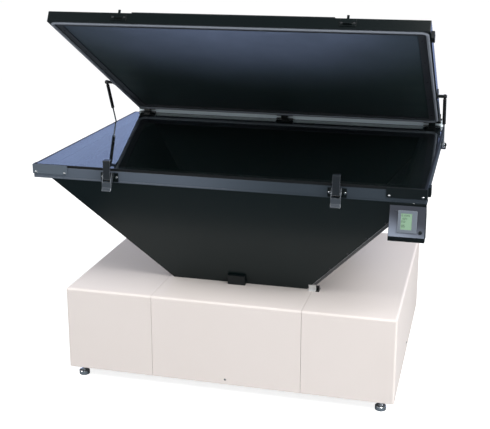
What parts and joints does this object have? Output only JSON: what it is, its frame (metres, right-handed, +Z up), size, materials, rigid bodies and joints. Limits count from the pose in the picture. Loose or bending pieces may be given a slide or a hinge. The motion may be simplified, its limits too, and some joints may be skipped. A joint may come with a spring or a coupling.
{
  "type": "screen printing exposure unit",
  "caption": "Exposure unit for printing screens: hinged vacuum lid with gas struts over a glass table, black light hopper, cream lamp cabinet.",
  "frame": {"origin": "centre of the bounding box at floor level", "axes": "+X to the right along the front, +Y from the front to the hinges at the back, +Z up"},
  "size_m": [1.338, 1.028, 1.2882],
  "materials": {
    "cabinet_paint": "cream powder coat, fine texture",
    "frame_steel": "grey primer",
    "hopper_paint": "black semi-gloss powder coat",
    "black_paint": "gloss black paint",
    "strip_paint": "dark grey satin",
    "rim_aluminium": "satin anodised, blue-grey",
    "rim_light": "satin",
    "bare_steel": "zinc plated, slightly dull",
    "bright_screws": "bright nickel plate",
    "chrome": "polished",
    "strut_black": "gloss black lacquer",
    "strut_rod": "polished hard chrome",
    "black_plastic": "fine grain",
    "glass": "clear plate glass",
    "black_rubber": "smooth trim",
    "blanket_rubber": "fine fabric-grained sheet",
    "bead_rubber": "smooth, light grey",
    "panel_grey": "satin grey",
    "bezel_silver": "satin silver",
    "screen_green": "display film",
    "lamp_glass": "coated lamp glass",
    "ceramic": "glazed ceramic",
    "reflector_metal": "bright hammered sheet",
    "ballast_core": "varnished core",
    "capacitor_can": "drawn can",
    "pump_iron": "painted casting"
  },
  "bodies": {
    "base": {"base_frame": "frame_steel", "centre_cover": "cabinet_paint", "left_cover": "cabinet_paint", "right_cover": "cabinet_paint", "hopper_shell": "hopper_paint", "hopper_side_panel": "hopper_paint", "hopper_corner_bracket": "bare_steel", "shutter_drive_box": "black_plastic", "table_frame": "rim_aluminium", "corner_brackets": "black_paint", "frame_screws": "bright_screws", "glass_sheet": "glass", "glass_gasket": "black_rubber", "hinge_rail": "rim_light", "hinge_blocks": "black_paint", "hinge_pins": "bright_screws", "latch_plates": "black_paint", "strut_brackets": "black_paint", "lid_sensor": "black_plastic", "control_housing": "black_paint", "control_face": "panel_grey", "display_bezel": "bezel_silver", "display_screen": "screen_green", "lamp_bulb": "lamp_glass", "lamp_socket": "ceramic", "reflector": "reflector_metal", "ballast": "ballast_core", "capacitors": "capacitor_can", "terminal_box": "panel_grey", "vacuum_pump": "pump_iron", "fan_housing": "black_plastic", "power_gland": "black_plastic", "hose_nipple": "bright_screws"},
    "lid": {"lid_frame": "black_paint", "vacuum_blanket": "blanket_rubber", "blanket_bead": "bead_rubber", "clamp_strips": "strip_paint", "lid_handle": "black_plastic", "keepers": "black_paint", "hinge_leaves": "black_paint", "lid_strut_mounts": "black_paint", "lid_magnet": "black_plastic", "lid_screws": "bright_screws", "lid_vacuum_port": "bright_screws"},
    "left_strut_tube": {"left_strut_cylinder": "strut_black"},
    "right_strut_tube": {"right_strut_cylinder": "strut_black"},
    "left_strut_piston": {"left_strut_rod": "strut_rod"},
    "right_strut_piston": {"right_strut_rod": "strut_rod"},
    "left_lever": {"left_latch_lever": "black_paint"},
    "right_lever": {"right_latch_lever": "black_paint"},
    "left_claw": {"left_latch_claw": "black_paint"},
    "right_claw": {"right_latch_claw": "black_paint"},
    "left_leaf": {"left_shutter_leaf": "hopper_paint"},
    "right_leaf": {"right_shutter_leaf": "hopper_paint"},
    "fan": {"fan_rotor": "black_plastic"},
    "button": {"start_button": "black_plastic"},
    "foot_front_left": {"front_left_foot": "chrome"},
    "foot_front_right": {"front_right_foot": "chrome"},
    "foot_rear_left": {"rear_left_foot": "chrome"},
    "foot_rear_right": {"rear_right_foot": "chrome"}
  },
  "joints": [
    {"name": "lid_hinge", "type": "hinge", "parent": "base", "child": "lid", "pos_m": [0, 0.501, 0.8], "axis": [-1, 0, 0], "range_deg": [-28, 0], "stiffness_Nm_per_rad": 40, "springref_deg": 91.67},
    {"name": "left_strut_tilt", "type": "hinge", "parent": "lid", "child": "left_strut_tube", "pos_m": [-0.6575, 0.20315, 0.95339], "axis": [-1, 0, 0], "range_deg": [-19.3, 0.1]},
    {"name": "left_strut_slide", "type": "slide", "parent": "left_strut_tube", "child": "left_strut_piston", "axis": [0, 0.4129, -0.9108], "range_m": [-0.08532, 0.0002]},
    {"name": "right_strut_tilt", "type": "hinge", "parent": "lid", "child": "right_strut_tube", "pos_m": [0.6575, 0.20315, 0.95339], "axis": [-1, 0, 0], "range_deg": [-19.3, 0.1]},
    {"name": "right_strut_slide", "type": "slide", "parent": "right_strut_tube", "child": "right_strut_piston", "axis": [0, 0.4129, -0.9108], "range_m": [-0.08532, 0.0002]},
    {"name": "left_lever_hinge", "type": "hinge", "parent": "base", "child": "left_lever", "pos_m": [-0.377, -0.488, 0.768], "axis": [-1, 0, 0], "range_deg": [-12, 80]},
    {"name": "left_claw_hinge", "type": "hinge", "parent": "left_lever", "child": "left_claw", "pos_m": [-0.377, -0.494, 0.755], "axis": [-1, 0, 0], "range_deg": [-100.5, 15.5]},
    {"name": "right_lever_hinge", "type": "hinge", "parent": "base", "child": "right_lever", "pos_m": [0.377, -0.488, 0.768], "axis": [-1, 0, 0], "range_deg": [-12, 80]},
    {"name": "right_claw_hinge", "type": "hinge", "parent": "right_lever", "child": "right_claw", "pos_m": [0.377, -0.494, 0.755], "axis": [-1, 0, 0], "range_deg": [-100.5, 15.5]},
    {"name": "left_leaf_hinge", "type": "hinge", "parent": "base", "child": "left_leaf", "pos_m": [-0.226, 0.02, 0.343], "axis": [0, -1, 0], "range_deg": [0, 125]},
    {"name": "right_leaf_hinge", "type": "hinge", "parent": "base", "child": "right_leaf", "pos_m": [0.226, 0.02, 0.343], "axis": [0, 1, 0], "range_deg": [0, 125]},
    {"name": "fan_spin", "type": "hinge", "parent": "base", "child": "fan", "pos_m": [-0.08, 0.446, 0.186], "axis": [0, 1, 0], "continuous": true},
    {"name": "start_press", "type": "slide", "parent": "base", "child": "button", "axis": [0, 0.9529, -0.3034], "range_m": [0, 0.0015], "stiffness_N_per_m": 400, "springref_m": -0.0005},
    {"name": "front_left_foot_turn", "type": "hinge", "parent": "base", "child": "foot_front_left", "pos_m": [-0.53, -0.407, 0.02], "axis": [0, 0, 1], "continuous": true},
    {"name": "front_right_foot_turn", "type": "hinge", "parent": "base", "child": "foot_front_right", "pos_m": [0.53, -0.407, 0.02], "axis": [0, 0, 1], "continuous": true},
    {"name": "rear_left_foot_turn", "type": "hinge", "parent": "base", "child": "foot_rear_left", "pos_m": [-0.53, 0.446, 0.02], "axis": [0, 0, 1], "continuous": true},
    {"name": "rear_right_foot_turn", "type": "hinge", "parent": "base", "child": "foot_rear_right", "pos_m": [0.53, 0.446, 0.02], "axis": [0, 0, 1], "continuous": true}
  ],
  "couplings": [
    {"joint": "left_strut_tilt", "follows": "lid_hinge", "ratio": 0.68582},
    {"joint": "left_strut_slide", "follows": "lid_hinge", "m_per_rad": 0.17418},
    {"joint": "right_strut_tilt", "follows": "lid_hinge", "ratio": 0.68582},
    {"joint": "right_strut_slide", "follows": "lid_hinge", "m_per_rad": 0.17418},
    {"joint": "left_claw_hinge", "follows": "left_lever_hinge", "ratio": -1.25},
    {"joint": "right_claw_hinge", "follows": "right_lever_hinge", "ratio": -1.25},
    {"joint": "right_leaf_hinge", "follows": "left_leaf_hinge", "ratio": 1}
  ]
}
